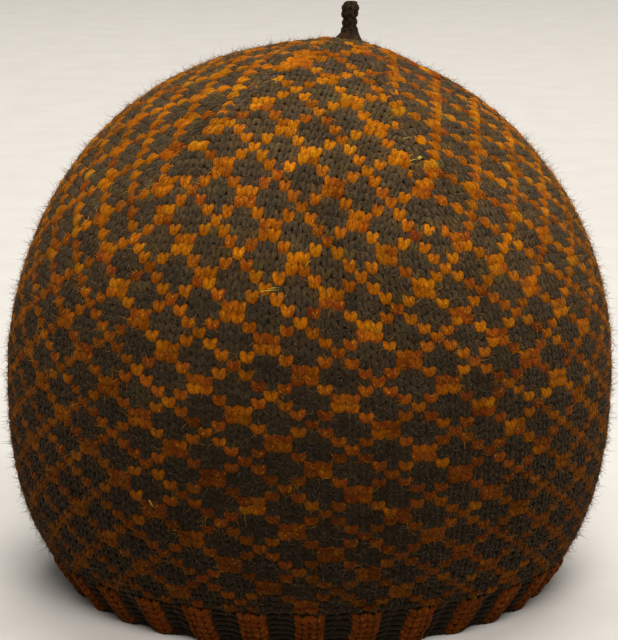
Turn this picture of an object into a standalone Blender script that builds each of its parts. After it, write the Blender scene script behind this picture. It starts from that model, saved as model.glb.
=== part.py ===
"""Knitted tam o' shanter: a ribbed band, a tall round body, a wedged crown and a short corded stem.

Metres, +Z up. The rim lies on Z = 0, the hat's axis is Z, and its front faces -Y.
"Turn" is the angle round the hat, 0 at the front and growing towards +X.
"Level" runs up the fabric: -1 at the rim, 0 at the widest ring and 1 at the crown's pole.
"""
import bisect
import math

import bmesh
import bpy
from mathutils import Matrix, Vector

# Outline of the fabric's outer face
WIDEST_RADIUS = 0.100
RIM_RADIUS = 0.078
WIDEST_HEIGHT = 0.072       # widest ring above the rim
CROWN_RISE = 0.1065         # top of the round above the widest ring
DRAWN_IN_POWER = 2.7        # 1 would be a cone from the widest ring to the rim, more is fuller
WALL = 0.003                # two strands thick, knitted

# The crown's pole lies off the top of the round, where the fabric peaks under the stem
POLE_LEAN_RIGHT = math.radians(7.6)
POLE_LEAN_BACK = math.radians(5.8)
PEAK_RISE = 0.0030
PEAK_SPREAD = 0.020

# Lengths up the wall from the rim
BAND_LENGTH = 0.0168        # to the first row of the body
BODY_LENGTH = 0.143         # to the first decreases, where the crown begins

# Lines of decreases, which divide the crown into wedges
WEDGES = 5
FIRST_LINE_TURN = math.radians(28.8)
LINE_RELIEF = 0.0010        # how far each line stands up as a soft ridge
LINE_WIDTH = 0.0060         # half width of the ridge
LINE_GROWTH = 0.2           # levels over which a line rises to its full relief

# Ribbed band
RIBS = 30
RIB_RELIEF = 0.0007         # ribs stand out by this, and the grooves sink by it

# Corded stem
STEM_HEIGHT = 0.0124
STEM_RADIUS = 0.0031
STEM_FLARE = 0.0044         # radius at its foot
STEM_KNOB = 0.0036          # radius near its tip
STEM_CORDS = 4              # knitted columns round the cord
CORD_RELIEF = 0.00025
STEM_LEAN = 0.0005          # sideways drift of the tip towards +X

CLEARANCE = 0.0003          # between pieces that meet
SEAT_MARGIN = 0.0004        # flat seat beyond the stem's foot
PEAK_MARGIN = 0.0055        # seat to the last full row of the crown

# How finely the curved faces are divided
BAND_COLUMNS_PER_RIB = 6
COLUMNS_PER_WEDGE = 20
BAND_ROWS = 3
BODY_ROWS = 12
CROWN_ROWS = 9
INNER_SHARE = 0.7           # rows of an inner face for each row of the outer one
STEM_COLUMNS_PER_CORD = 4
RULER_STEPS = 400
NORMAL_STEP = 0.004         # level and turn over which a normal is taken

# Soft swellings (+) and dents (-) of the worn fabric. The depth is a share of the widest radius,
# the height a share of the height from the rim to the top, and the spread a share of that radius.
# They fade out over RIM_FADE levels above the rim and by PEAK_FADE levels below the peak.
RIM_FADE = 0.3
PEAK_FADE_START = 0.75
PEAK_FADE = 0.2
#   turn in degrees, height, spread, depth
DENTS = (
    (78.0, 0.70, 0.40, 0.009),
    (92.0, 0.17, 0.22, -0.009),
    (-88.0, 0.58, 0.30, -0.005),
    (-84.0, 0.91, 0.30, 0.009),
    (-94.0, 0.10, 0.17, 0.014),
    (66.0, 0.95, 0.28, -0.015),
    (-20.0, 0.36, 0.30, -0.006),
    (152.0, 0.55, 0.34, -0.008),
    (-140.0, 0.30, 0.30, 0.007),
)

# Radius of the stem from foot to tip: share of its height, and which radius rules there
#   height, share of the flare, share of the plain cord, share of the knob
STEM_SECTIONS = (
    (0.00, 1.00, 0.00, 0.00),
    (0.07, 0.80, 0.20, 0.00),
    (0.18, 0.35, 0.65, 0.00),
    (0.34, 0.00, 1.00, 0.00),
    (0.52, 0.00, 1.00, 0.00),
    (0.66, 0.00, 0.60, 0.40),
    (0.78, 0.00, 0.00, 1.00),
    (0.90, 0.00, 0.00, 0.96),
    (0.97, 0.00, 0.00, 0.78),
    (1.00, 0.00, 0.00, 0.50),
)


def soft_step(value):
    """0 below 0, 1 above 1 and smooth between."""
    t = min(max(value, 0.0), 1.0)
    return t * t * (3.0 - 2.0 * t)


def wall_profile(level):
    """Radius and height of the plain round form, before the pole leans."""
    if level < 0.0:
        radius = WIDEST_RADIUS - (WIDEST_RADIUS - RIM_RADIUS) * (-level) ** DRAWN_IN_POWER
        return radius, WIDEST_HEIGHT * (1.0 + level)
    rise = level * math.pi / 2
    return WIDEST_RADIUS * math.cos(rise), WIDEST_HEIGHT + CROWN_RISE * math.sin(rise)


def round_point(turn, level):
    """Point of the plain round form with its pole leant over, before its peak, ridges and dents."""
    radius, height = wall_profile(level)
    side = math.sin(turn) * radius / WIDEST_RADIUS
    front = -math.cos(turn) * radius / WIDEST_RADIUS
    up = (height - WIDEST_HEIGHT) / CROWN_RISE
    share = soft_step(level)
    back_lean = Matrix.Rotation(-POLE_LEAN_BACK * share, 3, "X")
    right_lean = Matrix.Rotation(POLE_LEAN_RIGHT * share, 3, "Y")
    side, front, up = back_lean @ right_lean @ Vector((side, front, up))
    return Vector((WIDEST_RADIUS * side, WIDEST_RADIUS * front, WIDEST_HEIGHT + CROWN_RISE * up))


def dent_depth(point):
    """How far the dents and swellings move this point outwards."""
    top = WIDEST_HEIGHT + CROWN_RISE
    radius = math.hypot(point.x, point.y)
    total = 0.0
    for turn_deg, height, spread, depth in DENTS:
        turn = math.radians(turn_deg)
        centre = Vector((radius * math.sin(turn), -radius * math.cos(turn), height * top))
        away = (point - centre).length / (spread * WIDEST_RADIUS)
        total += depth * WIDEST_RADIUS * math.exp(-away * away)
    return total


def line_height(turn, level):
    """Height of the nearest decrease line's ridge at this place."""
    pitch = math.tau / WEDGES
    off = (turn - FIRST_LINE_TURN + pitch / 2) % pitch - pitch / 2
    across = abs(off) * WIDEST_RADIUS * math.cos(max(level, 0.0) * math.pi / 2)
    started = soft_step((level - CROWN_LEVEL) / LINE_GROWTH)
    return LINE_RELIEF * started * math.exp(-(across / LINE_WIDTH) ** 2)


def fabric_point(turn, level):
    """Point of the fabric's outer face."""
    point = round_point(turn, level)
    middle = Vector((0.0, 0.0, WIDEST_HEIGHT))
    outwards = (point - middle).normalized()
    from_rim = soft_step((level + 1.0) / RIM_FADE)
    to_peak = 1.0 - soft_step((level - PEAK_FADE_START) / PEAK_FADE)
    swelling = (dent_depth(point) * from_rim + line_height(turn, level)) * to_peak
    pole = round_point(0.0, 1.0)
    beside = math.hypot(point.x - pole.x, point.y - pole.y) / PEAK_SPREAD
    peak = PEAK_RISE * math.exp(-beside * beside) if level > 0.0 else 0.0
    return point + outwards * swelling + Vector((0.0, 0.0, peak))


def fabric_normal(turn, level):
    """Outward direction of the fabric at this place."""
    low = max(level - NORMAL_STEP, -1.0)
    high = min(level + NORMAL_STEP, 1.0 - NORMAL_STEP)
    beside = min(level, high)
    up = fabric_point(turn, high) - fabric_point(turn, low)
    along = fabric_point(turn + NORMAL_STEP, beside) - fabric_point(turn - NORMAL_STEP, beside)
    return along.cross(up).normalized()


def measured_levels():
    """Wall length from the rim at evenly spaced levels, up the plain round form."""
    levels = [-1.0 + 2.0 * number / RULER_STEPS for number in range(RULER_STEPS + 1)]
    points = [Vector(wall_profile(level)) for level in levels]
    lengths = [0.0]
    for before, here in zip(points, points[1:]):
        lengths.append(lengths[-1] + (here - before).length)
    return levels, lengths


LEVELS, LENGTHS = measured_levels()


def level_at(length):
    """Level that lies this far up the wall from the rim."""
    after = min(max(bisect.bisect_left(LENGTHS, length), 1), RULER_STEPS)
    share = (length - LENGTHS[after - 1]) / (LENGTHS[after] - LENGTHS[after - 1])
    return LEVELS[after - 1] + share * (LEVELS[after] - LEVELS[after - 1])


CROWN_LEVEL = level_at(BODY_LENGTH)


def loft(name, rings, capped):
    """Bridge each ring of points to the next. The last ring meets the first, or both ends are filled."""
    shape = bmesh.new()
    loops = []
    for ring in rings:
        corners = [shape.verts.new(point) for point in ring]
        loops.append([shape.edges.new((corners[i - 1], corners[i])) for i in range(len(corners))])
    followers = loops[1:] if capped else loops[1:] + loops[:1]
    for loop, follower in zip(loops, followers):
        bmesh.ops.bridge_loops(shape, edges=loop + follower)
    if capped:
        for loop in (loops[0], loops[-1]):
            bmesh.ops.contextual_create(shape, geom=loop)
    bmesh.ops.recalc_face_normals(shape, faces=shape.faces)
    mesh = bpy.data.meshes.new(name)
    shape.to_mesh(mesh)
    shape.free()
    mesh.shade_smooth()
    mesh.set_sharp_from_angle(angle=math.radians(50))
    piece = bpy.data.objects.new(name, mesh)
    bpy.context.scene.collection.objects.link(piece)
    return piece


def dress(piece, colour, roughness):
    """Give a piece its own plain yarn-coloured material."""
    material = bpy.data.materials.new(piece.name + "_yarn")
    material.use_nodes = True
    shader = material.node_tree.nodes["Principled BSDF"]
    shader.inputs["Base Color"].default_value = (*colour, 1.0)
    shader.inputs["Roughness"].default_value = roughness
    shader.inputs["Metallic"].default_value = 0.0
    piece.data.materials.append(material)


def band_ring(level, depth, on_rim):
    """Ring of the ribbed wall, this deep in it. A ring on the rim stays on the rim's flat underside."""
    ring = []
    columns = RIBS * BAND_COLUMNS_PER_RIB
    for number in range(columns):
        turn = math.tau * number / columns
        normal = fabric_normal(turn, level)
        sideways = Vector((math.sin(turn), -math.cos(turn), 0.0))
        outwards = sideways / normal.dot(sideways) if on_rim else normal
        relief = RIB_RELIEF * math.cos(RIBS * turn)
        ring.append(fabric_point(turn, level) + outwards * (relief - depth))
    return ring


def make_band():
    """Ribbed band: ribs and grooves go right through the wall, and the rim is flat underneath."""
    levels = [level_at(BAND_LENGTH * row / BAND_ROWS) for row in range(BAND_ROWS + 1)]
    rings = [band_ring(level, 0.0, row == 0) for row, level in enumerate(levels)]
    rings += [band_ring(level, WALL, False) for level in reversed(levels[1:])]
    rings.append(band_ring(levels[0], WALL, True))
    band = loft("rib_band", rings, capped=False)
    dress(band, (0.16, 0.060, 0.025), 0.95)
    return band


def wall_turns():
    """Turns of the columns of the body and crown. A column runs along each decrease line."""
    columns = WEDGES * COLUMNS_PER_WEDGE
    return [FIRST_LINE_TURN + math.tau * number / columns for number in range(columns)]


def wall_rings(start, end, rows, depth):
    """Rings of a wall this deep in it, from one length up the wall to another."""
    rings = []
    for row in range(rows + 1):
        level = level_at(start + (end - start) * row / rows)
        rings.append([fabric_point(turn, level) - fabric_normal(turn, level) * depth for turn in wall_turns()])
    return rings


def make_body():
    """Body between the band and the crown: a hollow wall, open above and below."""
    start = BAND_LENGTH + CLEARANCE
    outer = wall_rings(start, BODY_LENGTH, BODY_ROWS, 0.0)
    inner = wall_rings(start, BODY_LENGTH, round(BODY_ROWS * INNER_SHARE), WALL)
    body = loft("body", outer + inner[::-1], capped=False)
    dress(body, (0.23, 0.105, 0.035), 0.95)
    return body


def seat_radius():
    return STEM_FLARE + CORD_RELIEF + SEAT_MARGIN


def peak_point():
    """Middle of the flat seat on top of the crown."""
    return fabric_point(0.0, 1.0)


def seat_ring(depth):
    """Level ring round the pole, at the stem's seat or this far under it."""
    middle = peak_point() - Vector((0.0, 0.0, depth))
    radius = seat_radius()
    return [middle + Vector((radius * math.sin(turn), -radius * math.cos(turn), 0.0)) for turn in wall_turns()]


def make_crown():
    """Crown: the body's wall goes on through its wedges and closes under the stem."""
    start = BODY_LENGTH + CLEARANCE
    end = LENGTHS[-1] - seat_radius() - PEAK_MARGIN
    outer = wall_rings(start, end, CROWN_ROWS, 0.0)
    inner = wall_rings(start, end, round(CROWN_ROWS * INNER_SHARE), WALL)
    crown = loft("crown", [seat_ring(WALL)] + inner[::-1] + outer + [seat_ring(0.0)], capped=True)
    dress(crown, (0.26, 0.120, 0.040), 0.95)
    return crown


def make_stem():
    """Knitted cord on the peak, flared at its foot and thicker near its tip."""
    foot = peak_point() + Vector((0.0, 0.0, CLEARANCE))
    columns = STEM_CORDS * STEM_COLUMNS_PER_CORD
    rings = []
    for height, flare, cord, knob in STEM_SECTIONS:
        radius = flare * STEM_FLARE + cord * STEM_RADIUS + knob * STEM_KNOB
        middle = foot + Vector((STEM_LEAN * height * height, 0.0, STEM_HEIGHT * height))
        ring = []
        for number in range(columns):
            turn = math.tau * number / columns
            reach = radius + CORD_RELIEF * math.cos(STEM_CORDS * turn)
            ring.append(middle + Vector((reach * math.sin(turn), -reach * math.cos(turn), 0.0)))
        rings.append(ring)
    stem = loft("stem", rings, capped=True)
    dress(stem, (0.045, 0.040, 0.038), 0.95)
    return stem


def main():
    for old in list(bpy.data.objects):
        bpy.data.objects.remove(old, do_unlink=True)
    make_band()
    make_body()
    make_crown()
    make_stem()


main()
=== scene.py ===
"""Looks of the knitted tam o' shanter: every stitch of its outer face, the stranded inner face,
the ribs, the corded stem and a halo of wool, all laid on the surface that the frame's solids have.

Metres, +Z up. "Turn" is the angle round the hat, 0 at the front (-Y) and growing towards +X.
"Length" runs up the fabric from the rim. Heights above the fabric are in metres too.
A place in the chart is a wedge, a column across it (0 at its middle) and a row (0 high on the body).
"""
import math

import bpy
import numpy as np
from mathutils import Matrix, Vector

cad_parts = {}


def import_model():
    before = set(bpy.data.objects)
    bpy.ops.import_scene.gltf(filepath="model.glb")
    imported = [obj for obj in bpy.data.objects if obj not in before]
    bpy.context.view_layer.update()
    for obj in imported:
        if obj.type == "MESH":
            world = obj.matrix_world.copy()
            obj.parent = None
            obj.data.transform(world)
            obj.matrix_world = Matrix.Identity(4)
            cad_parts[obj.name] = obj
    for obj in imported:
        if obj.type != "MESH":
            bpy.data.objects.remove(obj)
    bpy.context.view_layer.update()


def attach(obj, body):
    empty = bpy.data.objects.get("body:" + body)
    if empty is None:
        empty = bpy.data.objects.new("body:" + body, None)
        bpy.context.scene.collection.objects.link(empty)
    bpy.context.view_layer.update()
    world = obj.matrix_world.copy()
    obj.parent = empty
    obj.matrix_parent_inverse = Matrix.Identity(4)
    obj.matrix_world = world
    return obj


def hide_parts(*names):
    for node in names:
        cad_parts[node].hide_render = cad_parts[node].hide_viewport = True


SEED = 7

# The fabric's outer face, as the frame's solids have it
WIDEST_RADIUS = 0.100
RIM_RADIUS = 0.078
WIDEST_HEIGHT = 0.072
CROWN_RISE = 0.1065
DRAWN_IN_POWER = 2.7
POLE_LEAN_RIGHT = math.radians(7.6)
POLE_LEAN_BACK = math.radians(5.8)
PEAK_RISE = 0.0030
PEAK_SPREAD = 0.020
RIB_RELIEF = 0.0007
RIBS = 30
STEM_HEIGHT = 0.0124
STEM_RADIUS = 0.0031
STEM_FLARE = 0.0044
STEM_KNOB = 0.0036
STEM_LEAN = 0.0005
STEM_CLEARANCE = 0.0003
RIM_FADE = 0.3
PEAK_FADE_START = 0.75
PEAK_FADE = 0.2
LINE_RELIEF = 0.0010
LINE_WIDTH = 0.0060
LINE_GROWTH = 0.2
CROWN_LEVEL = 0.41
#   turn in degrees, height as a share of the top, spread and depth as shares of the widest radius
DENTS = (
    (78.0, 0.70, 0.40, 0.009),
    (92.0, 0.17, 0.22, -0.009),
    (-88.0, 0.58, 0.30, -0.005),
    (-84.0, 0.91, 0.30, 0.009),
    (-94.0, 0.10, 0.17, 0.014),
    (66.0, 0.95, 0.28, -0.015),
    (-20.0, 0.36, 0.30, -0.006),
    (152.0, 0.55, 0.34, -0.008),
    (-140.0, 0.30, 0.30, 0.007),
)
#   share of the stem's height, and of the flare, the plain cord and the knob
STEM_SECTIONS = (
    (0.00, 1.00, 0.00, 0.00),
    (0.07, 0.80, 0.20, 0.00),
    (0.18, 0.35, 0.65, 0.00),
    (0.34, 0.00, 1.00, 0.00),
    (0.52, 0.00, 1.00, 0.00),
    (0.66, 0.00, 0.60, 0.40),
    (0.78, 0.00, 0.00, 1.00),
    (0.90, 0.00, 0.00, 0.96),
    (0.97, 0.00, 0.00, 0.78),
    (1.00, 0.00, 0.00, 0.50),
)

# How the knitting lies on that face
WEDGES = 5
WEDGE_STITCHES = 30             # 150 stitches round the body
CHART_SHIFT = 2                 # column 0 of the chart lies so many right of the first wedge's middle
GOLD_EVERY = (5, 6)             # stitches between gold lines that lean one way and the other
WEDGE_TURN = math.radians(-6.7) # middle of the first wedge
SQUEEZE = 0.0355                # the crown's ridges crowd a little towards the front
BODY_SQUEEZE = 0.0271           # so do the stitches
CROWN_SQUEEZE = 0.449           # and more where the crown is pulled forwards
CROWN_PULL_TURN = math.radians(9.2)
SIDE_SQUEEZE = 0.0593           # the same for the crown's two sides
SIDE_SQUEEZE_TURN = math.radians(-71.2)
SIDE_DIP = 0.0042               # rows run lower on the right side than on the left
CROWN_SAG = 0.0049              # rows of the crown hang lower at its lines than between them
CROWN_STITCH = 0.00317          # width of a stitch once the crown narrows
CROWN_LIFT = 0.0022             # rows are taller above the body, by this much in all
LIFT_ROWS = (-6.0, 20.0)        # from this row on, over so many
FIRST_ROW = -42
LAST_ROW = 34
CROWN_ROW = 6
#   A row's length in decimetres: at row 0, by the row, and by the square and cube of thirty rows
ROW_FIT = (1.25845, 0.02787, 0.0911, 0.03425)
#   Level where each of these changes starts, and over how much it grows
PULL_LEVELS = (0.071, 0.905)
DIP_STARTS = (-0.80, 0.80)
DIP_ENDS = (0.62, 0.38)
SAG_STARTS = (0.10, 0.30)
SAG_ENDS = (0.75, 0.25)
NARROWING_LEVEL = 0.2           # below this a wedge has all of its stitches
NARROWEST = 0.3                 # stitches across a wedge at the pole
POLE_GAP = 0.0006               # the yarn ends this far below the pole
RIB_ROWS = 6
RIB_STITCHES = 120
RIB_TOP = 0.0158
RIB_STAND = 1.3                 # the band's yarn stands out and sinks more than its solid does
RIB_ENDS = (0.012, 0.006)       # length where the ribs fade out of the wall, and over how much

STEM_ROWS = 5.2
STEM_COLUMNS = 4
STEM_DRAW = 0.90                # thickness of the cord as a share of its solid's

# Pieces of the outer face: name, yarn, first and last row and the solid that they replace
STITCH_PIECES = (
    ("body_dark_low", "dark", FIRST_ROW, -26, "body"),
    ("body_dark_mid", "dark", -25, -10, "body"),
    ("body_dark_high", "dark", -9, CROWN_ROW - 1, "body"),
    ("crown_dark", "dark", CROWN_ROW, LAST_ROW, "crown"),
    ("body_gold_low", "gold", FIRST_ROW, -18, "body"),
    ("body_gold_high", "gold", -17, CROWN_ROW - 1, "body"),
    ("crown_gold", "gold", CROWN_ROW, LAST_ROW, "crown"),
)

# Depths in the wall
STITCH_DEPTH = 0.00045          # middle of the outer stitches, below the face
LINE_DEPTH = 0.00010            # the same for the stitches on the crown's lines
LINE_WIDE = 1.35                # these fill the width that the wedges leave
GROUND_DEPTH = 0.0012           # face of the ground behind them
INSIDE_DEPTH = 0.0027
#   How much thicker the outer strands of a yarn are, and how far they stand up
YARN_STAND = {"gold": (1.32, 0.00022), "dark": (1.0, 0.0)}
FLOOR_GAP = 0.00005             # the yarn stays this far above the floor

# Strands of a plain stitch, a purled one, the rim and the stem's foot.
# Across in stitches, up in rows, height and half width in metres
LEG = (
    (0.07, -0.72, -0.0008, 0.0),
    (0.11, -0.43, 0.0000, 0.00082),
    (0.20, -0.05, 0.00052, 0.00118),
    (0.30, 0.30, 0.00056, 0.00124),
    (0.385, 0.63, 0.00022, 0.00100),
    (0.44, 0.96, -0.0006, 0.0),
)
PURL = (
    (-0.64, -0.34, -0.0006, 0.0),
    (-0.42, 0.00, 0.0000, 0.00100),
    (-0.14, 0.22, 0.00025, 0.00125),
    (0.14, 0.22, 0.00025, 0.00125),
    (0.42, 0.00, 0.0000, 0.00100),
    (0.64, -0.34, -0.0006, 0.0),
)
ROPE = (
    (-0.40, -0.42, -0.0006, 0.0),
    (-0.26, -0.34, 0.0002, 0.00070),
    (-0.09, -0.24, 0.00055, 0.00090),
    (0.09, -0.12, 0.00055, 0.00090),
    (0.26, -0.02, 0.0002, 0.00070),
    (0.40, 0.06, -0.0006, 0.0),
)
ROOT = (
    (0.0, -0.40, -0.0010, 0.0),
    (0.0, -0.18, 0.0002, 0.00085),
    (0.0, 0.04, 0.0012, 0.00105),
    (0.0, 0.24, 0.0022, 0.00100),
    (0.0, 0.40, 0.0034, 0.00080),
    (0.0, 0.52, 0.0044, 0.0),
)
ONE = (False,)                  # a stitch of one strand
PAIR = (False, True)            # a stitch of two, the second mirrored
EDGE_DROP = 0.0006              # how far a stitch past a wedge's edge is folded down
STRAND_DROP = 0.85              # how far its edges lie below its crest, as a share of its half width
STRAND_CORNERS = 18
CREST = 0.52                    # width of a strand's crest as a share of the strand
NOMINAL = (0.0040, 0.0027)      # stitch width and row height that the strands are drawn at

SPIKE_CORNERS = 7               # two rings of three and a tip
# Loose fibres of either yarn: how many, shortest and longest
FUZZ = (22500, 0.0014, 0.0048)
HALO = (4600, 0.0019, 0.0064)
# Bits of straw caught in the wool: turn and length of both ends, thickness and brightness
STRAWS = (
    (-9.5, 0.1199, -5.8, 0.1207, 0.00016, 1.0),
    (-8.3, 0.1207, -6.0, 0.1213, 0.00012, 1.0),
    (24.2, 0.1625, 25.6, 0.1633, 0.00070, 0.7),
    (21.7, 0.1618, 24.4, 0.1625, 0.00014, 0.8),
    (-1.7, 0.1274, -0.3, 0.1296, 0.00012, 0.8),
    (-29.4, 0.0554, -28.1, 0.0527, 0.00030, 0.38),
    (-6.2, 0.1200, -5.5, 0.1156, 0.00008, 0.6),
    (21.2, 0.1703, 24.0, 0.1710, 0.00014, 0.8),
    (-11.3, 0.0558, -11.0, 0.0486, 0.00008, 0.35),
)

# The camera, from the middle of the widest ring
DISTANCE = 0.9
ELEVATION = 0.2281
FOCAL_PIXELS = 2694.5
FRAME_HEIGHT = 640
AIM_PIXELS = 46.3               # the aim lies this far above the widest ring's middle


def soft_step(value):
    t = np.clip(value, 0.0, 1.0)
    return t * t * (3.0 - 2.0 * t)


def ease(value, start, span):
    """0 up to the start, 1 after the span, and smooth between them."""
    return soft_step((value - start) / span)


def wall_profile(level):
    """Radius and height of the plain round form."""
    below = np.clip(-level, 0.0, None)
    rise = np.clip(level, 0.0, 1.0) * math.pi / 2
    radius = np.where(
        level < 0.0,
        WIDEST_RADIUS - (WIDEST_RADIUS - RIM_RADIUS) * below**DRAWN_IN_POWER,
        WIDEST_RADIUS * np.cos(rise),
    )
    height = np.where(level < 0.0, WIDEST_HEIGHT * (1.0 + level), WIDEST_HEIGHT + CROWN_RISE * np.sin(rise))
    return radius, height


LEVELS = np.linspace(-1.0, 1.0, 1601)
LENGTHS = np.concatenate([[0.0], np.cumsum(np.hypot(*(np.diff(part) for part in wall_profile(LEVELS))))])


def round_point(turn, level):
    """Plain round form with its pole leant over."""
    radius, height = wall_profile(level)
    side = np.sin(turn) * radius / WIDEST_RADIUS
    front = -np.cos(turn) * radius / WIDEST_RADIUS
    up = (height - WIDEST_HEIGHT) / CROWN_RISE
    share = soft_step(level)
    right = POLE_LEAN_RIGHT * share
    side, up = np.cos(right) * side + np.sin(right) * up, np.cos(right) * up - np.sin(right) * side
    back = -POLE_LEAN_BACK * share
    front, up = np.cos(back) * front - np.sin(back) * up, np.sin(back) * front + np.cos(back) * up
    return np.stack([WIDEST_RADIUS * side, WIDEST_RADIUS * front, WIDEST_HEIGHT + CROWN_RISE * up], -1)


def dent_depth(point):
    top = WIDEST_HEIGHT + CROWN_RISE
    radius = np.hypot(point[..., 0], point[..., 1])
    total = np.zeros(radius.shape)
    for turn_deg, height, spread, depth in DENTS:
        turn = math.radians(turn_deg)
        away = (
            (point[..., 0] - radius * math.sin(turn)) ** 2
            + (point[..., 1] + radius * math.cos(turn)) ** 2
            + (point[..., 2] - height * top) ** 2
        ) / (spread * WIDEST_RADIUS) ** 2
        total += depth * WIDEST_RADIUS * np.exp(-away)
    return total


def line_height(turn, level):
    """Soft ridges along the lines where the wedges meet."""
    pitch = math.tau / WEDGES
    first = WEDGE_TURN + pitch / 2
    off = (turn + SQUEEZE * np.sin(turn) - first + pitch / 2) % pitch - pitch / 2
    across = np.abs(off) * WIDEST_RADIUS * np.cos(np.clip(level, 0.0, 1.0) * math.pi / 2)
    started = ease(level, CROWN_LEVEL, LINE_GROWTH)
    return LINE_RELIEF * started * np.exp(-((across / LINE_WIDTH) ** 2))


POLE = round_point(np.zeros(1), np.ones(1))[0]


def fabric_point(turn, level):
    point = round_point(turn, level)
    outwards = point - np.array([0.0, 0.0, WIDEST_HEIGHT])
    outwards /= np.linalg.norm(outwards, axis=-1, keepdims=True)
    from_rim = ease(level, -1.0, RIM_FADE)
    to_peak = 1.0 - ease(level, PEAK_FADE_START, PEAK_FADE)
    swelling = (dent_depth(point) * from_rim + line_height(turn, level)) * to_peak
    beside = np.hypot(point[..., 0] - POLE[0], point[..., 1] - POLE[1]) / PEAK_SPREAD
    moved = point + outwards * swelling[..., None]
    moved[..., 2] += np.where(level > 0.0, PEAK_RISE * np.exp(-beside * beside), 0.0)
    return moved


def lay(turn, length, height):
    """Points this high above the fabric's outer face."""
    turn, length, height = np.broadcast_arrays(turn, length, height)
    step = 0.004
    level = np.interp(length, LENGTHS, LEVELS)
    low, high = np.clip(level - step, -1.0, 1.0), np.clip(level + step, -1.0, 1.0 - step)
    beside = np.minimum(level, high)
    up = fabric_point(turn, high) - fabric_point(turn, low)
    along = fabric_point(turn + step, beside) - fabric_point(turn - step, beside)
    normal = np.cross(along, up)
    normal /= np.linalg.norm(normal, axis=-1, keepdims=True)
    point = fabric_point(turn, level) + normal * height[..., None]
    point[..., 2] = np.maximum(point[..., 2], FLOOR_GAP)
    return point


def row_length(row):
    """Length up the fabric at this row. Rows are lower near the rim than in the crown."""
    start, steady, squared, cubed = ROW_FIT
    share = row / 30.0
    lift = CROWN_LIFT * ease(row, *LIFT_ROWS)
    return 0.1 * (start + steady * row + squared * share**2 + cubed * share**3) + lift


def squeeze_at(level):
    """How strongly the turns crowd at this level, the turn they crowd towards and the crown's share."""
    share = ease(level, *PULL_LEVELS)
    return BODY_SQUEEZE + (CROWN_SQUEEZE - BODY_SQUEEZE) * share, CROWN_PULL_TURN * share, share


def squeezed(turn, level):
    amount, towards, share = squeeze_at(level)
    turn = turn - amount * np.sin(turn - towards)
    return turn - SIDE_SQUEEZE * share * np.sin(2.0 * (turn - SIDE_SQUEEZE_TURN))


def wedge_width(wedge, length):
    """Stitches across a wedge at this length: all of them in the body, fewer and fewer in the crown."""
    level = np.interp(length, LENGTHS, LEVELS)
    radius, _ = wall_profile(level)
    amount, towards, _ = squeeze_at(level)
    local = 1.0 - amount * np.cos(WEDGE_TURN + wedge * math.tau / WEDGES - towards)
    fitting = math.tau * radius * local / (WEDGES * CROWN_STITCH)
    narrowed = np.clip(fitting, NARROWEST, WEDGE_STITCHES)
    return np.where(level < NARROWING_LEVEL, WEDGE_STITCHES, narrowed)


def is_full(width):
    """Whether a wedge of this width has all of its stitches."""
    return width > WEDGE_STITCHES - 0.01


def dip(share, turn, level):
    """How far the rows hang down: on the right side, and in the crown at a wedge's edges (share -1, 1)."""
    fade = ease(level, *DIP_STARTS) * (1.0 - ease(level, *DIP_ENDS))
    sag = CROWN_SAG * ease(level, *SAG_STARTS) * (1.0 - ease(level, *SAG_ENDS))
    return SIDE_DIP * fade * np.sin(turn) + sag * (share * share - 0.33)


def lay_chart(wedge, column, row, height, bound=True):
    """Points above the fabric at places in the chart.

    Where a wedge narrows, bound columns end at its edge, and what lies past it is folded down.
    """
    highest = LENGTHS[-1] - POLE_GAP
    length = np.minimum(row_length(row), highest)
    width = wedge_width(wedge, length)
    endless = is_full(width) | (not bound)
    edge = np.where(endless, np.inf, width / 2)
    over = np.clip(np.abs(column) - edge, 0.0, 1.0)
    inside = np.clip(column, -edge, edge)
    level = np.interp(length, LENGTHS, LEVELS)
    turn = squeezed(WEDGE_TURN + (wedge + inside / width) * math.tau / WEDGES, level)
    share = np.clip(2.0 * inside / width, -1.1, 1.1)
    length = np.clip(length - dip(share, turn, level), 0.0, highest)
    return lay(turn, length, height - EDGE_DROP * over)


def lay_line(wedge, column, row, height):
    """The same for the stitches that run up a line between two wedges of the crown."""
    width = wedge_width(wedge, np.minimum(row_length(row), LENGTHS[-1] - POLE_GAP))
    return lay_chart(wedge, column - width / 2, row, height, False)


def lay_band(column, row, height):
    """Points above the ribbed band. The ribs stand out, and the grooves sink."""
    turn = column * math.tau / RIB_STITCHES
    length = np.clip((row + 0.5) * RIB_TOP / RIB_ROWS, 0.0, None)
    return lay(turn, length, height + RIB_STAND * RIB_RELIEF * np.cos(RIBS * turn))


def lay_stem(column, row, height):
    """Points on the corded stem."""
    column, row, height = np.broadcast_arrays(column, row, height)
    share = np.clip((row + 0.5) / STEM_ROWS, 0.0, 1.0)
    sections = np.array(STEM_SECTIONS)
    radii = sections[:, 1] * STEM_FLARE + sections[:, 2] * STEM_RADIUS + sections[:, 3] * STEM_KNOB
    radius = STEM_DRAW * np.interp(share, sections[:, 0], radii) + height
    turn = column * math.tau / STEM_COLUMNS
    foot = fabric_point(np.zeros(1), np.ones(1))[0]
    x = foot[0] + STEM_LEAN * share**2 + radius * np.sin(turn)
    y = foot[1] - radius * np.cos(turn)
    z = foot[2] + STEM_CLEARANCE + STEM_HEIGHT * share
    return np.stack([x, y, z], -1)


def is_gold(column, row):
    """Diagonal lines of gold, every fifth stitch one way and every sixth the other, on a dark ground."""
    one, other = GOLD_EVERY
    return ((column + row) % one == one - 1) | ((column - row) % other == 0)


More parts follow.
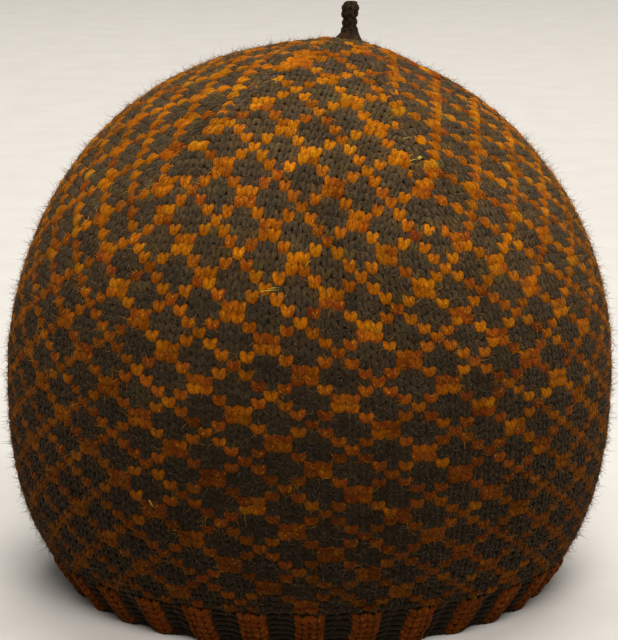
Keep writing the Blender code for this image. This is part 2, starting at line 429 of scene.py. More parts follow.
def strand(path, mirrored, thick):
    """Corners of one strand: a tip, four rings of four and a tip. Across, up and height, as in the paths."""
    wide, tall = NOMINAL
    nodes = np.array(path)
    flat = nodes[:, :2] * (wide, tall)
    tangent = np.gradient(flat, axis=0)
    tangent /= np.linalg.norm(tangent, axis=1, keepdims=True)
    beside = np.stack([tangent[:, 1], -tangent[:, 0]], 1)
    corners = [(*flat[0], nodes[0, 2])]
    for number in range(1, len(nodes) - 1):
        half = nodes[number, 3] * thick
        drop = STRAND_DROP * half
        for across, down in ((-1.0, drop), (-CREST, 0.0), (CREST, 0.0), (1.0, drop)):
            x, y = flat[number] + beside[number] * half * across
            corners.append((x, y, nodes[number, 2] - down))
    corners.append((*flat[-1], nodes[-1, 2]))
    corners = np.array(corners) / (wide, tall, 1.0)
    if mirrored:
        corners[:, 0] *= -1.0
    return corners


def strand_faces():
    """Triangles of a strand, and where each of their corners lies round and along it, from 0 to 1."""
    last = STRAND_CORNERS - 1
    around = (0.03, 0.33, 0.63, 0.93, 0.99)
    along = (0.02, 0.15, 0.38, 0.62, 0.85, 0.98)
    faces, places = [], []
    for side in range(4):
        here, there = side, (side + 1) % 4
        left, right = around[side], around[side + 1]
        middle = (left + right) / 2
        faces.append((0, 1 + there, 1 + here))
        places.append(((middle, along[0]), (right, along[1]), (left, along[1])))
        for ring in range(3):
            low, high = 1 + 4 * ring, 5 + 4 * ring
            below, above = along[ring + 1], along[ring + 2]
            faces.append((low + here, low + there, high + there))
            places.append(((left, below), (right, below), (right, above)))
            faces.append((low + here, high + there, high + here))
            places.append(((left, below), (right, above), (left, above)))
        faces.append((last, last - 4 + here, last - 4 + there))
        places.append(((middle, along[5]), (left, along[4]), (right, along[4])))
    return np.array(faces), np.array(places)


STRAND_FACES, STRAND_PLACES = strand_faces()
#   Where each corner lies round and along its strand, for the materials
STRAND_ROUND = np.array([1.5] + [0.0, 1.0, 2.0, 3.0] * 4 + [1.5]) / 3.0
STRAND_ALONG = np.array([0.0] + [0.2] * 4 + [0.4] * 4 + [0.6] * 4 + [0.8] * 4 + [1.0])


def add_object(name, data):
    """New object with this data, in the scene."""
    added = bpy.data.objects.new(name, data)
    bpy.context.scene.collection.objects.link(added)
    return added


def make_mesh(name, points, faces, places, numbers, material):
    """Mesh from corner points, triangles, bake places per triangle corner and numbers per point."""
    mesh = bpy.data.meshes.new(name)
    mesh.vertices.add(len(points))
    mesh.vertices.foreach_set("co", points.astype(np.float32).ravel())
    mesh.loops.add(faces.size)
    mesh.loops.foreach_set("vertex_index", faces.astype(np.int32).ravel())
    mesh.polygons.add(len(faces))
    mesh.polygons.foreach_set("loop_start", np.arange(0, faces.size, 3, dtype=np.int32))
    mesh.update(calc_edges=True)
    layer = mesh.uv_layers.new(name="OFBake")
    layer.data.foreach_set("uv", places.astype(np.float32).ravel())
    for key, values in numbers.items():
        attribute = mesh.attributes.new(key, "FLOAT", "POINT")
        attribute.data.foreach_set("value", values.astype(np.float32).ravel())
    mesh.shade_smooth()
    mesh.materials.append(material)
    return add_object(name, mesh)


def cell_places(count, template, first=0, total=None):
    """Bake places: each strand or fibre has its own cell of a square grid."""
    side = math.ceil(math.sqrt(total or count))
    number = first + np.arange(count)
    corner = np.stack([number % side, number // side], 1)[:, None, None, :]
    return (corner + 0.05 + 0.90 * template[None]) / side


def strands_piece(name, points, numbers, rng, material):
    """Piece of many strands. points is strands x corners x 3, and numbers hold one value a strand."""
    count = len(points)
    offset = (np.arange(count) * STRAND_CORNERS)[:, None, None]
    faces = (STRAND_FACES[None] + offset).reshape(-1, 3)
    places = cell_places(count, STRAND_PLACES).reshape(-1, 2)
    numbers = {**numbers, "chance": rng.random(count)}
    spread = {key: np.repeat(values, STRAND_CORNERS) for key, values in numbers.items()}
    spread["around"] = np.tile(STRAND_ROUND, count)
    spread["along"] = np.tile(STRAND_ALONG, count)
    return make_mesh(name, points.reshape(-1, 3), faces, places, spread, material)


def smooth_noise(rng, count, spacing):
    """Random values that change smoothly over this many steps, about -1 to 1."""
    knots = rng.normal(0.0, 0.6, count // spacing + 3)
    place = np.arange(count) / spacing
    low = place.astype(int)
    share = soft_step(place - low)
    return np.clip(knots[low] * (1.0 - share) + knots[low + 1] * share, -1.4, 1.4)


def chart_stitches():
    """Every stitch of the body and crown: wedge, column across it, row, column of the chart, whether
    it is gold and whether it is on a line between two wedges.
    """
    wedge, column, row = np.meshgrid(
        np.arange(WEDGES),
        np.arange(WEDGE_STITCHES) - WEDGE_STITCHES // 2,
        np.arange(FIRST_ROW, LAST_ROW + 1),
        indexing="ij",
    )
    wedge, column, row = wedge.ravel(), column.ravel(), row.ravel()
    width = wedge_width(wedge, row_length(row + 0.5))
    on_line = (column == -WEDGE_STITCHES // 2) & ~is_full(width)
    keep = is_full(width) | (np.abs(column) < width / 2 - 0.3) | on_line
    order = np.lexsort((column, wedge, row))
    order = order[keep[order]]
    wedge, column, row, on_line = (values[order] for values in (wedge, column, row, on_line))
    # A line's stitches go on with the chart of the wedge on their left
    width = wedge_width(wedge - 1, row_length(row + 0.5))
    beside = np.round(width / 2).astype(int) - WEDGE_STITCHES
    chart = np.where(on_line, beside, column) + WEDGE_STITCHES * wedge - CHART_SHIFT
    return wedge, column, row, chart, is_gold(chart, row), on_line


def others_beside(chart, row):
    """Share of a stitch's neighbours that are of the other colour."""
    own = is_gold(chart, row)
    steps = [(i, j) for i in (-1, 0, 1) for j in (-1, 0, 1) if i or j]
    return sum((is_gold(chart + i, row + j) != own).astype(float) for i, j in steps) / len(steps)


def strand_points(place, path, flips, column, row, rng, depth=STITCH_DEPTH, thick=1.0, wide=1.0):
    """Corners of the strands of these stitches, a little uneven: all of one flip, then of the next."""
    points, one_each = [], (len(column), 1)
    shift = rng.normal(0.0, 0.040, one_each)
    rise = rng.normal(0.0, 0.060, one_each)
    lift = rng.normal(0.0, 0.00008, one_each) - depth
    for flip in flips:
        corners = strand(path, flip, thick)
        lean = rng.normal(0.0, 0.035, one_each)
        across = column[:, None] + shift + corners[None, :, 0] * wide + lean * corners[None, :, 1]
        up = row[:, None] + rise + corners[None, :, 1] * (1.0 + rng.normal(0.0, 0.05, one_each))
        points.append(place(across, up, lift + corners[None, :, 2]))
    return np.concatenate(points)


class Nodes:
    """Short way to write a node graph."""

    def __init__(self, name):
        self.material = bpy.data.materials.new(name)
        self.material.use_nodes = True
        self.tree = self.material.node_tree
        self.shader = self.tree.nodes["Principled BSDF"]

    def link(self, source, socket):
        if isinstance(source, bpy.types.NodeSocket):
            self.tree.links.new(source, socket)
        elif isinstance(source, tuple):
            socket.default_value = (*source, 1.0)
        else:
            socket.default_value = source

    def node(self, kind, *values):
        """New node with its first inputs filled in."""
        node = self.tree.nodes.new("ShaderNode" + kind)
        for socket, value in zip(node.inputs, values):
            self.link(value, socket)
        return node

    def number(self, name):
        node = self.node("Attribute")
        node.attribute_name = name
        return node.outputs["Fac"]

    def math(self, operation, *values):
        node = self.node("Math", *values)
        node.operation = operation
        return node.outputs[0]

    def total(self, a, b):
        return self.math("ADD", a, b)

    def product(self, a, b):
        return self.math("MULTIPLY", a, b)

    def gap(self, a, b):
        return self.math("ABSOLUTE", self.math("SUBTRACT", a, b))

    def spread(self, value, low, high, to_low, to_high):
        """The value from low to high, laid out from to_low to to_high."""
        return self.node("MapRange", value, low, high, to_low, to_high).outputs[0]

    def blend(self, share, first, second, kind="MIX"):
        node = self.node("Mix")
        node.data_type = "RGBA"
        node.blend_type = kind
        self.link(share, node.inputs["Factor"])
        self.link(first, node.inputs["A"])
        self.link(second, node.inputs["B"])
        return next(out for out in node.outputs if out.type == "RGBA")

    def ramp(self, value, stops):
        node = self.node("ValToRGB", value)
        ramp = node.color_ramp
        while len(ramp.elements) < len(stops):
            ramp.elements.new(0.5)
        for element, (place, colour) in zip(ramp.elements, stops):
            element.position = place
            element.color = (*colour, 1.0)
        return node.outputs[0]

    def place(self, x, y, z):
        return self.node("CombineXYZ", x, y, z).outputs[0]

    def noise(self, scale, detail, place=None):
        """Soft random values round 0.5, over the object or over a given place."""
        if place is None:
            place = self.node("TexCoord").outputs["Object"]
        node = self.node("TexNoise", place)
        node.inputs["Scale"].default_value = scale
        node.inputs["Detail"].default_value = detail
        return node.outputs["Fac"]

    def times(self, colour, share):
        """The colour made darker or lighter by a number."""
        grey = self.node("CombineColor", share, share, share)
        return self.blend(1.0, colour, grey.outputs[0], "MULTIPLY")

    def bump(self, height, distance, strength):
        node = self.node("Bump")
        node.inputs["Distance"].default_value = distance
        node.inputs["Strength"].default_value = strength
        self.link(height, node.inputs["Height"])
        self.link(node.outputs[0], self.shader.inputs["Normal"])

    def finish(self, colour, roughness, sheen, tint=(1.0, 0.8, 0.6)):
        for name, value in (
            ("Base Color", colour),
            ("Roughness", roughness),
            ("Sheen Weight", sheen),
            ("Sheen Roughness", 0.6),
            ("Sheen Tint", tint),
            ("Specular IOR Level", 0.08),
            ("Specular Tint", tint),
        ):
            self.link(value, self.shader.inputs[name])
        return self.material


# Colours that the yarns run through, then their dark and light flecks
GOLD_RUN = (
    (0.00, (0.175, 0.026, 0.006)),
    (0.25, (0.270, 0.055, 0.004)),
    (0.50, (0.400, 0.105, 0.002)),
    (0.75, (0.500, 0.155, 0.002)),
    (1.00, (0.520, 0.200, 0.006)),
)
GOLD_FLECKS = ((0.200, 0.030, 0.003), (0.640, 0.270, 0.010))
DARK_RUN = (
    (0.00, (0.024, 0.018, 0.012)),
    (0.30, (0.038, 0.028, 0.016)),
    (0.50, (0.046, 0.032, 0.018)),
    (0.70, (0.058, 0.036, 0.014)),
    (1.00, (0.064, 0.050, 0.015)),
)
DARK_FLECKS = ((0.018, 0.013, 0.014), (0.150, 0.085, 0.022))
#   Fuzz of either yarn where it strays over the other, and the tint of its sheen
DARK_STRAY = (0.085, 0.050, 0.018)
GOLD_STRAY = (0.260, 0.085, 0.010)
GOLD_SHEEN = (1.0, 0.45, 0.05)
DARK_SHEEN = (1.0, 0.70, 0.45)
#   Loose fibres and straw: darkest and lightest shade and the tint of their sheen
LOOSE_SHADES = {
    "halo_gold": ((0.28, 0.07, 0.005), (0.58, 0.25, 0.018), (1.0, 0.5, 0.1)),
    "halo_dark": ((0.040, 0.030, 0.019), (0.11, 0.073, 0.026), (1.0, 0.75, 0.5)),
    "straw": ((0.52, 0.37, 0.02), (0.66, 0.53, 0.05), (1.0, 0.9, 0.4)),
}


def yarn_material(name, run, flecks, other, sheen, tint):
    """Plied wool: colour runs, fibres that lie along the strand, flecks, and fuzz of the other yarn."""
    n = Nodes(name)
    around, along, chance = n.number("around"), n.number("along"), n.number("chance")

    def fibres(round_scale, along_scale, chance_scale, scale, detail):
        """Noise drawn out along the strand, and different for each strand."""
        x, y = n.product(around, round_scale), n.product(along, along_scale)
        return n.noise(scale, detail, n.place(x, y, n.product(chance, chance_scale)))

    shade = n.total(n.number("run"), n.spread(n.noise(230.0, 3.0), 0.3, 0.7, -0.22, 0.22))
    colour = n.ramp(shade, run)
    fibre = fibres(8.0, 2.6, 90.0, 1.0, 4.0)
    fleck = fibres(6.0, 3.0, -70.0, 1.3, 3.0)
    colour = n.blend(n.spread(fleck, 0.60, 0.70, 0.0, 0.7), colour, flecks[0])
    colour = n.blend(n.spread(fleck, 0.40, 0.32, 0.0, 0.7), colour, flecks[1])
    # Strands darker at their edges, with a ragged fringe along the fibres: painted shade where each strand
    # rounds away into its neighbours
    margin = n.gap(around, 0.5)
    painted_edge_shade = n.total(margin, n.spread(fibre, 0.3, 0.7, -0.10, 0.10))
    colour = n.blend(n.spread(painted_edge_shade, 0.16, 0.48, 0.0, 0.7), colour, flecks[0])
    edge = n.spread(margin, 0.12, 0.5, 0.25, 1.0)
    reach = n.product(n.product(edge, n.number("beside")), 0.38)
    stray = n.total(n.noise(1500.0, 2.0), reach)
    colour = n.blend(n.spread(stray, 0.66, 0.80, 0.0, 0.75), colour, other)
    ply = n.math("SINE", n.product(n.total(around, n.product(along, 2.2)), 9.5))
    fine = n.noise(2600.0, 2.0)
    # Brightness of each strand: its own tone, with painted shade towards the rim
    light = n.number("tone_and_shade")
    for share in (
        n.spread(fibre, 0.3, 0.7, 0.66, 1.34),
        # the ply's grooves darker: painted shade in the creases between the plies
        n.spread(ply, -1.0, 0.3, 0.86, 1.0),
        n.spread(fine, 0.3, 0.7, 0.80, 1.20),
        n.spread(n.noise(75.0, 2.0), 0.32, 0.68, 0.80, 1.22),
    ):
        light = n.product(light, share)
    height = n.total(n.product(ply, 0.25), n.total(fibre, n.product(fine, 0.8)))
    n.bump(height, 0.00035, 0.8)
    return n.finish(n.times(colour, light), n.spread(fine, 0.2, 0.8, 0.86, 0.98), sheen, tint)


def ground_painted_shade_material():
    """Wool seen deep between the outer stitches: dark yarn colours, dimmed further as painted shade of the
    gaps.
    """
    n = Nodes("ground_yarn_painted_shade")
    shade = n.spread(n.noise(400.0, 3.0), 0.3, 0.7, 0.1, 0.8)
    fine = n.noise(2600.0, 2.0)
    n.bump(fine, 0.0003, 0.7)
    stray = n.spread(n.noise(600.0, 2.0), 0.56, 0.68, 0.0, 0.8)
    colour = n.blend(stray, n.ramp(shade, DARK_RUN), (0.12, 0.035, 0.004))
    # dimmed to 35 to 70 per cent: painted shade deep between the stitches
    return n.finish(n.times(colour, n.spread(fine, 0.3, 0.7, 0.35, 0.70)), 0.95, 0.05)


def halo_material(name, low, high, tint):
    """Loose fibres, from one shade to the other."""
    n = Nodes(name)
    colour = n.ramp(n.noise(300.0, 2.0), ((0.35, low), (0.65, high)))
    return n.finish(n.times(colour, n.number("tone_and_shade")), 0.85, 0.2, tint)


def inside_material():
    """Inner face: purl bumps of one yarn and floats of the other, from the chart's own coordinates."""
    n = Nodes("inside_knit")
    place = n.node("UVMap")
    place.uv_map = "chart"
    column, row, _ = n.node("SeparateXYZ", place.outputs[0]).outputs
    whole_column, whole_row = n.math("FLOOR", column), n.math("FLOOR", row)

    one, other = GOLD_EVERY
    first = n.math("FLOORED_MODULO", n.total(whole_column, whole_row), float(one))
    second = n.math("FLOORED_MODULO", n.math("SUBTRACT", whole_column, whole_row), float(other))
    gold = n.math("MAXIMUM", n.math("COMPARE", first, one - 1.0, 0.5), n.math("LESS_THAN", second, 0.5))
    wave = n.product(n.math("COSINE", n.product(n.math("FRACT", column), math.tau)), -0.16)
    in_row = n.math("FRACT", row)
    ridge = n.spread(n.gap(n.math("SUBTRACT", in_row, 0.36), wave), 0.0, 0.34, 1.0, 0.0)
    strand_over = n.spread(n.gap(in_row, 0.84), 0.0, 0.15, 1.0, 0.0)
    over = n.math("GREATER_THAN", strand_over, ridge)
    is_yarn_gold = n.gap(gold, over)
    shade = n.spread(n.noise(240.0, 3.0), 0.3, 0.7, 0.25, 0.75)
    colour = n.blend(is_yarn_gold, n.ramp(shade, DARK_RUN), n.ramp(shade, GOLD_RUN))
    height = n.math("MAXIMUM", ridge, strand_over)
    fine = n.noise(2600.0, 2.0)
    n.bump(n.total(height, n.product(fine, 0.25)), 0.0008, 1.0)
    # darker in the dips between the bumps and floats: painted shade
    return n.finish(n.times(colour, n.spread(height, 0.0, 0.6, 0.15, 0.9)), 0.95, 0.1)


def make_materials():
    materials = {
        "gold": yarn_material("gold_yarn", GOLD_RUN, GOLD_FLECKS, DARK_STRAY, 0.10, GOLD_SHEEN),
        "dark": yarn_material("dark_yarn", DARK_RUN, DARK_FLECKS, GOLD_STRAY, 0.06, DARK_SHEEN),
        "ground": ground_painted_shade_material(),
        "inside": inside_material(),
    }
    for name, shades in LOOSE_SHADES.items():
        materials[name] = halo_material(name, *shades)
    return materials


def row_rise(row):
    """0 at the rim, 1 high in the crown."""
    return ease(row_length(row), 0.03, 0.13)


def yarn_tone_and_rim_shade(yarn, rise):
    """The yarns are darker towards the rim: partly the yarns' own colour, partly painted shade of the lower
    hat.
    """
    if yarn == "gold":
        return 0.27 + 0.58 * rise
    return 0.132 + 0.486 * rise + 0.624 * rise**2


def make_stitches(rng, materials):
    """The outer face: every stitch of the body and crown, in pieces of one yarn each."""
    wedge, column, row, chart, gold, on_line = chart_stitches()
    count = WEDGE_STITCHES * WEDGES
    yarn_place = (row - FIRST_ROW) * count + chart % count
    total = int(yarn_place.max()) + 1
    slow, quick = smooth_noise(rng, total, 46), smooth_noise(rng, total, 9)
    drift = 0.17 * slow[yarn_place] + 0.15 * quick[yarn_place] + rng.normal(0.0, 0.13, len(row))
    rise = row_rise(row)
    # Towards the rim the colours run rustier and darker: partly the yarns' own colour run, partly painted
    # shade of the lower hat
    run = {"gold": 0.07 + 0.49 * rise + drift, "dark": 0.30 + 0.22 * rise + drift}
    uneven = 1.0 + rng.normal(0.0, 0.08, len(row)) * np.where(gold, 1.8, 1.0)
    beside = others_beside(chart, row)
    pieces = []
    for name, yarn, low, high, node in STITCH_PIECES:
        pick = (row >= low) & (row <= high) & (gold == (yarn == "gold"))
        tone_and_shade = yarn_tone_and_rim_shade(yarn, rise) * uneven
        thick, stand = YARN_STAND[yarn]
        parts, order = [], []
        for lined in (False, True):
            these = np.flatnonzero(pick & (on_line == lined))
            if not len(these):
                continue
            base = lay_line if lined else lay_chart

            def place(across, up, height, base=base, these=these):
                return base(wedge[these][:, None], across, up + 0.5, height)

            middle = np.zeros(len(these)) if lined else column[these]
            depth = (LINE_DEPTH if lined else STITCH_DEPTH) - stand
            wide = LINE_WIDE if lined else 1.0
            parts.append(strand_points(place, LEG, PAIR, middle, row[these], rng, depth, thick, wide))
            order.append(np.tile(these, len(PAIR)))
        order = np.concatenate(order)
        numbers = {"run": run[yarn][order], "tone_and_shade": tone_and_shade[order], "beside": beside[order]}
        piece = strands_piece(name, np.concatenate(parts), numbers, rng, materials[yarn])
        pieces.append((piece, node, "body_yarn"))
    return pieces


def make_band(rng, materials):
    """Ribbed band: two plain columns of gold on each rib and two purled columns of dark in each groove."""
    column, row = np.meshgrid(np.arange(RIB_STITCHES), np.arange(RIB_ROWS), indexing="ij")
    column, row = column.ravel(), row.ravel()
    knit = np.isin(column % 4, (0, 3))
    uneven = 1.0 + rng.normal(0.0, 0.08, len(row))
    # Low tones of the band: partly the yarns' own colour, partly painted shade of the rim and of the grooves
    tone_and_shade = {"gold": 0.42 * uneven, "dark": 0.10 * uneven}
    run = {"gold": -0.12 + rng.normal(0.0, 0.10, len(row)), "dark": 0.25 + rng.normal(0.0, 0.12, len(row))}
    pieces = []
    for name, yarn, path, flips, thick, pick in (
        ("rib_gold", "gold", LEG, PAIR, 1.0, knit),
        ("rib_dark", "dark", PURL, ONE, 1.3, ~knit),
    ):
        middle, low = column[pick] + 0.5, row[pick].astype(float)
        points = strand_points(lay_band, path, flips, middle, low, rng, STITCH_DEPTH, thick)
        order = np.tile(np.flatnonzero(pick), len(flips))
        numbers = {"run": run[yarn][order], "tone_and_shade": tone_and_shade[yarn][order], "beside": np.full(len(order), 0.4)}
        pieces.append(strands_piece(name, points, numbers, rng, materials[yarn]))
    edge = np.arange(RIB_STITCHES * 2) / 2 + 0.25
    count = len(edge)
    points = strand_points(lay_band, ROPE, ONE, edge, np.zeros(count), rng)
    run = 0.2 + rng.normal(0.0, 0.1, count)
    # The edge is dark: partly the yarn's colour, partly painted shade at the rim
    numbers = {"run": run, "tone_and_shade": np.full(count, 0.12), "beside": np.full(count, 0.1)}
    pieces.append(strands_piece("rib_edge", points, numbers, rng, materials["dark"]))
    return [(piece, "rib_band", "rib_yarn") for piece in pieces]


def make_ground(materials):
    """Wall behind the outer stitches and the inner face, in one closed piece."""
    columns, rows = 30, 80
    count = WEDGES * columns
    highest = LENGTHS[-1] - 0.003
    plain_length = np.linspace(0.0, highest, rows + 1)
    plain_turn = WEDGE_TURN - math.pi / WEDGES + np.arange(count) * math.tau / count
    level = np.interp(plain_length, LENGTHS, LEVELS)[:, None]
    turn = squeezed(plain_turn[None, :], level)
    share = 2.0 * (np.arange(count) % columns) / columns - 1.0
    length = np.clip(plain_length[:, None] - dip(share[None, :], turn, level), 0.0, highest)
    wave = RIB_RELIEF * np.cos(RIBS * turn) * (1.0 - ease(length, *RIB_ENDS))
    outer = lay(turn, length, wave - GROUND_DEPTH)
    inner = lay(turn, length, wave - INSIDE_DEPTH)
    points = np.concatenate([outer.reshape(-1, 3), inner.reshape(-1, 3)])
    top_outer, top_inner = len(points), len(points) + 1
    points = np.vstack([points, outer[-1].mean(0), inner[-1].mean(0)])

    many_rows = np.linspace(FIRST_ROW - 1.0, LAST_ROW + 3.0, 2000)
    row_at = np.interp(plain_length, row_length(many_rows), many_rows)
    width = wedge_width(np.arange(WEDGES)[:, None], plain_length[None, :])
    first_inner = (rows + 1) * count
    #   Steps right and up to a square's corners, seen from outside and from inside
    squares = (((0, 0), (1, 0), (1, 1), (0, 1)), ((1, 0), (0, 0), (0, 1), (1, 1)))
    faces, places, chart = [], [], []
    for ring in range(rows):
        for number in range(count):
            wedge, here = divmod(number, columns)
            for side, square in enumerate(squares):
                corners, laid, charted = [], [], []
                for right, up in square:
                    above = ring + up
                    corners.append(side * first_inner + above * count + (number + right) % count)
                    laid.append(((number + right) / count, (side + 0.01 + 0.98 * above / rows) / 2))
                    across = ((here + right) / columns - 0.5) * width[wedge, above] + 0.5
                    charted.append((across + wedge * WEDGE_STITCHES - CHART_SHIFT, row_at[above]))
                for picked in ((0, 1, 2), (0, 2, 3)):
                    faces.append([corners[i] for i in picked])
                    places.append([laid[i] for i in picked])
                    chart.append([charted[i] for i in picked])
    last = rows * count
    for number in range(count):
        after = (number + 1) % count
        spot = ((number + 0.5) / count, 0.4995)
        for triangle in (
            (last + number, last + after, top_outer),
            (top_inner, first_inner + last + after, first_inner + last + number),
            (first_inner + number, first_inner + after, after),
            (first_inner + number, after, number),
        ):
            faces.append(triangle)
            places.append([spot] * 3)
            chart.append([(0.0, 36.0)] * 3)
    faces = np.array(faces)
    piece = make_mesh("knit_ground", points, faces, np.array(places), {}, materials["ground"])
    layer = piece.data.uv_layers.new(name="chart")
    layer.data.foreach_set("uv", np.array(chart).astype(np.float32).ravel())
    piece.data.materials.append(materials["inside"])
    is_inner = (faces >= first_inner).all(1)
    piece.data.polygons.foreach_set("material_index", is_inner.astype(np.int32))
    return piece


def make_stem_core(materials):
    """Closed core that fills the cord, in the ground's dark wool with its painted shade."""
    sides, rings = 20, 12
    share = np.linspace(0.0, 1.0, rings + 1)[:, None]
    column = np.arange(sides)[None, :] * STEM_COLUMNS / sides
    points = lay_stem(column, share * STEM_ROWS - 0.5, -0.0011 - 0.0009 * share**12)
    points[-1, :, 2] -= 0.0008
    centres = np.stack([points[0].mean(0), points[-1].mean(0)])
    points = points.reshape(-1, 3)
    bottom, top, last = len(points), len(points) + 1, rings * sides
    faces, places = [], []
    for number in range(sides):
        after = (number + 1) % sides
        left, middle, right = number / sides, (number + 0.5) / sides, (number + 1) / sides
        faces += [(after, number, bottom), (last + number, last + after, top)]
        places += [((middle, 0.0),) * 3, ((middle, 1.0),) * 3]
        for ring in range(rings):
            a, b = ring * sides + number, ring * sides + after
            below, above = ring / rings, (ring + 1) / rings
            faces += [(a, b, b + sides), (a, b + sides, a + sides)]
            places.append(((left, below), (right, below), (right, above)))
            places.append(((left, below), (right, above), (left, above)))
    points = np.concatenate([points, centres])
    return make_mesh("stem_core", points, np.array(faces), np.array(places), {}, materials["ground"])


def make_stem(rng, materials):
    """The corded stem, and the ends of its stitches that spread onto the crown."""
    column, row = np.meshgrid(np.arange(STEM_COLUMNS), np.arange(6), indexing="ij")
    column, row = column.ravel() + 0.5, row.ravel() - 0.3
    cord = strand_points(lay_stem, LEG, PAIR, column, row, rng, depth=0.0007, thick=0.95)
    count = 14
    foot = np.arange(count) * math.tau / count

    def spread_out(across, up, height):
        """Points on the crown round the foot, the higher rows nearer to it."""
        away = np.clip(0.0039 - 0.0042 * up, 0.0019, None)
        turn = foot[:, None] + (across - foot[:, None]) * NOMINAL[0] / away
        level = 1.0 - away / (WIDEST_RADIUS * math.pi / 2)
        return lay(turn, np.interp(level, LEVELS, LENGTHS), height)

    feet = strand_points(spread_out, ROOT, ONE, foot, np.zeros(count), rng, depth=0.0)
    points = np.concatenate([cord, feet])
    numbers = {
        "run": 0.15 + rng.normal(0.0, 0.1, len(points)),
        "tone_and_shade": np.full(len(points), 0.62),
        "beside": np.repeat((0.1, 0.6), (len(cord), count)),
    }
    return strands_piece("stem_cord", points, numbers, rng, materials["dark"])


def make_camera():
    middle = Vector((0.0, 0.0, WIDEST_HEIGHT))
    data = bpy.data.cameras.new("camera")
    camera = add_object("camera", data)
    camera.location = middle + DISTANCE * Vector((0.0, -math.cos(ELEVATION), math.sin(ELEVATION)))
    tilt = ELEVATION - math.atan(AIM_PIXELS / FOCAL_PIXELS)
    camera.rotation_euler = (math.pi / 2 - tilt, 0.0, 0.0)
    data.sensor_fit = "VERTICAL"
    data.sensor_height = 36.0
    data.lens = FOCAL_PIXELS * data.sensor_height / FRAME_HEIGHT
    data.clip_start, data.clip_end = 0.01, 20.0
    bpy.context.scene.camera = camera


def area_light(name, place, aim, size, watts, colour):
    data = bpy.data.lights.new(name, "AREA")
    data.shape = "RECTANGLE"
    data.size, data.size_y = size
    data.energy = watts
    data.color = colour
    light = add_object(name, data)
    light.location = place
    light.rotation_euler = (Vector(aim) - Vector(place)).to_track_quat("-Z", "Y").to_euler()


def make_studio():
    n = Nodes("floor_paper")
    colour = n.ramp(n.noise(30.0, 3.0), ((0.3, (0.66, 0.64, 0.61)), (0.7, (0.70, 0.68, 0.65))))
    n.bump(n.noise(900.0, 2.0), 0.0002, 0.2)
    mesh = bpy.data.meshes.new("floor")
    reach = 6.0
    corners = [(-reach, -reach, 0), (reach, -reach, 0), (reach, reach, 0), (-reach, reach, 0)]
    mesh.from_pydata(corners, [], [(0, 1, 2, 3)])
    mesh.materials.append(n.finish(colour, 0.9, 0.0))
    floor = add_object("floor", mesh)
    area_light("key", (0.35, -2.5, 2.6), (0.0, 0.0, 0.10), (2.0, 1.6), 105.0, (1.0, 0.96, 0.90))
    area_light("top", (0.30, 0.9, 3.0), (0.0, 0.4, 0.0), (2.4, 2.4), 85.0, (1.0, 0.97, 0.92))
    world = bpy.data.worlds.new("world")
    world.use_nodes = True
    background = world.node_tree.nodes["Background"]
    background.inputs["Color"].default_value = (1.0, 0.98, 0.95, 1.0)
    background.inputs["Strength"].default_value = 0.20
    bpy.context.scene.world = world
    bpy.context.scene.view_settings.view_transform = "Standard"


def spikes(root, middle, tip, thick):
    """Thin closed spikes with a bend in the middle: points, triangles, and bake places for one of them."""
    along = tip - root
    other = np.cross(along, np.array([0.31, 0.17, 0.93]))
    other /= np.linalg.norm(other, axis=1, keepdims=True)
    third = np.cross(other, along)
    third /= np.linalg.norm(third, axis=1, keepdims=True)
    rings = []
    for centre, scale in ((root, 1.0), (middle, 0.8)):
        for number in range(3):
            angle = number * math.tau / 3
            away = other * math.cos(angle) + third * math.sin(angle)
            rings.append(centre + away * thick[:, None] * scale)
    left, right, mid_left, mid_right, top = (0.0, 0.0), (1.0, 0.0), (0.1, 0.5), (0.9, 0.5), (0.5, 1.0)
    template, places = [(0, 2, 1)], [(left, right, (0.5, 0.1))]
    for number in range(3):
        after = (number + 1) % 3
        template.append((number, after, 3 + after))
        template.append((number, 3 + after, 3 + number))
        template.append((3 + number, 3 + after, 6))
        places += [(left, right, mid_right), (left, mid_right, mid_left), (mid_left, mid_right, top)]
    faces = np.array(template)[None] + (np.arange(len(root)) * SPIKE_CORNERS)[:, None, None]
    return np.stack([*rings, tip], 1).reshape(-1, 3), faces.reshape(-1, 3), np.array(places)


def slivers(root, tip, thick):
    """The same without a bend."""
    points, _, _ = spikes(root, root, tip, thick)
    points = points.reshape(-1, SPIKE_CORNERS, 3)[:, [0, 1, 2, 6]]
    template = np.array([(0, 2, 1), (0, 1, 3), (1, 2, 3), (2, 0, 3)])
    places = [((0.0, 0.0), (1.0, 0.0), (0.5, 0.1))] + [((0.0, 0.0), (1.0, 0.0), (0.5, 1.0))] * 3
    faces = template[None] + (np.arange(len(root)) * 4)[:, None, None]
    return points.reshape(-1, 3), faces.reshape(-1, 3), np.array(places)


def leaning(out, side, lean, reach):
    """Steps of this reach that lean over from straight out."""
    lean, reach = lean[:, None], reach[:, None]
    return (out * np.cos(lean) + side * np.sin(lean)) * reach


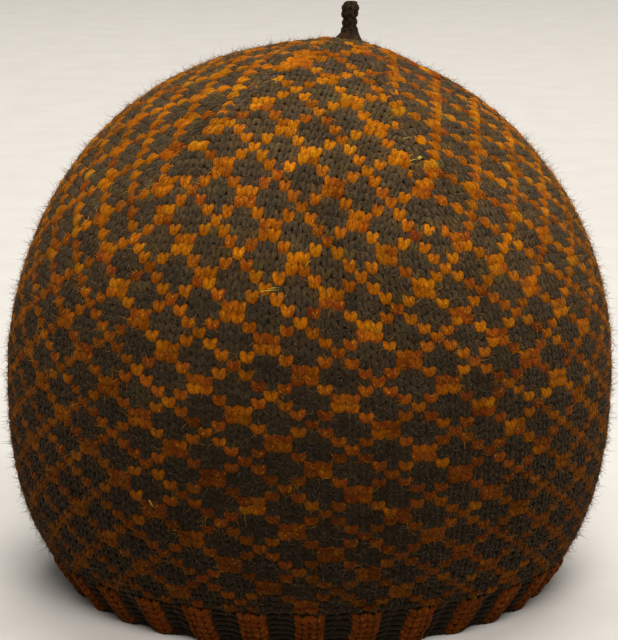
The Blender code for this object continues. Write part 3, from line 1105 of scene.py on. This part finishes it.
def make_fibres(rng, materials):
    """Loose wool: short fuzz that lies over the stitches and a halo of longer fibres that stand up."""
    wedge, column, row, _, gold, on_line = chart_stitches()
    pieces = []
    for name, yarn in (("halo_gold", "gold"), ("halo_dark", "dark")):
        candidates = np.flatnonzero((gold == (yarn == "gold")) & ~on_line)
        parts, corners, first = [], 0, 0
        for kind, (count, shortest, longest) in (("fuzz", FUZZ), ("halo", HALO)):
            pick = rng.choice(candidates, count)
            across = column[pick] + rng.uniform(-0.5, 0.5, count)
            up = row[pick] + rng.uniform(0.1, 1.1, count)
            reach = shortest + (longest - shortest) * rng.random(count) ** 1.6
            low = -0.0001 if kind == "fuzz" else -0.0005
            root = lay_chart(wedge[pick], across, up, np.full(count, low))
            out = lay_chart(wedge[pick], across, up, np.full(count, 0.0008)) - root
            out /= np.linalg.norm(out, axis=1, keepdims=True)
            side = np.cross(out, rng.normal(0.0, 1.0, (count, 3)))
            side /= np.linalg.norm(side, axis=1, keepdims=True)
            # The fibres take the yarns' tone, with the same painted shade towards the rim
            tone_and_shade = yarn_tone_and_rim_shade(yarn, row_rise(up)) * rng.uniform(0.75, 1.25, count)
            if kind == "fuzz":
                tip = root + leaning(out, side, rng.uniform(0.95, 1.42, count), reach)
                points, faces, cell = slivers(root, tip, rng.uniform(0.00005, 0.00012, count))
            else:
                lean = rng.uniform(0.1, 1.1, count)
                middle = root + leaning(out, side, lean, reach / 2)
                tip = middle + leaning(out, side, lean + rng.uniform(-0.5, 0.9, count), reach / 2)
                points, faces, cell = spikes(root, middle, tip, rng.uniform(0.000035, 0.000065, count))
            places = cell_places(count, cell, first, FUZZ[0] + HALO[0]).reshape(-1, 2)
            parts.append((points, faces + corners, places, np.repeat(tone_and_shade, len(points) // count)))
            corners += len(points)
            first += count
        points, faces, places, tones_and_shades = (np.concatenate(both) for both in zip(*parts))
        pieces.append(make_mesh(name, points, faces, places, {"tone_and_shade": tones_and_shades}, materials[name]))
    return pieces


def make_straws(materials):
    """Splinters of straw that lie on the wool."""
    ends = np.array(STRAWS)
    first_turn, last_turn = np.radians(ends[:, 0]), np.radians(ends[:, 2])
    first = lay(first_turn, ends[:, 1], 0.0004)
    last = lay(last_turn, ends[:, 3], 0.0004)
    middle = lay((first_turn + last_turn) / 2, (ends[:, 1] + ends[:, 3]) / 2, 0.0009)
    points, faces, cell = spikes(first, middle, last, ends[:, 4])
    places = cell_places(len(ends), cell).reshape(-1, 2)
    numbers = {"tone_and_shade": np.repeat(ends[:, 5], SPIKE_CORNERS)}
    return make_mesh("straws", points, faces, places, numbers, materials["straw"])


def main():
    rng = np.random.default_rng(SEED)
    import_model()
    materials = make_materials()
    pieces = make_stitches(rng, materials) + make_band(rng, materials)
    pieces.append((make_stem(rng, materials), "stem", "stem_yarn"))
    pieces.append((make_stem_core(materials), None, "stem_yarn"))
    pieces.append((make_ground(materials), None, "body_yarn"))
    loose = (*make_fibres(rng, materials), make_straws(materials))
    pieces += [(piece, None, "body_yarn") for piece in loose]
    for piece, node, slot in pieces:
        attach(piece, "root")
        if node:
            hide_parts(node)
    make_studio()
    make_camera()


main()
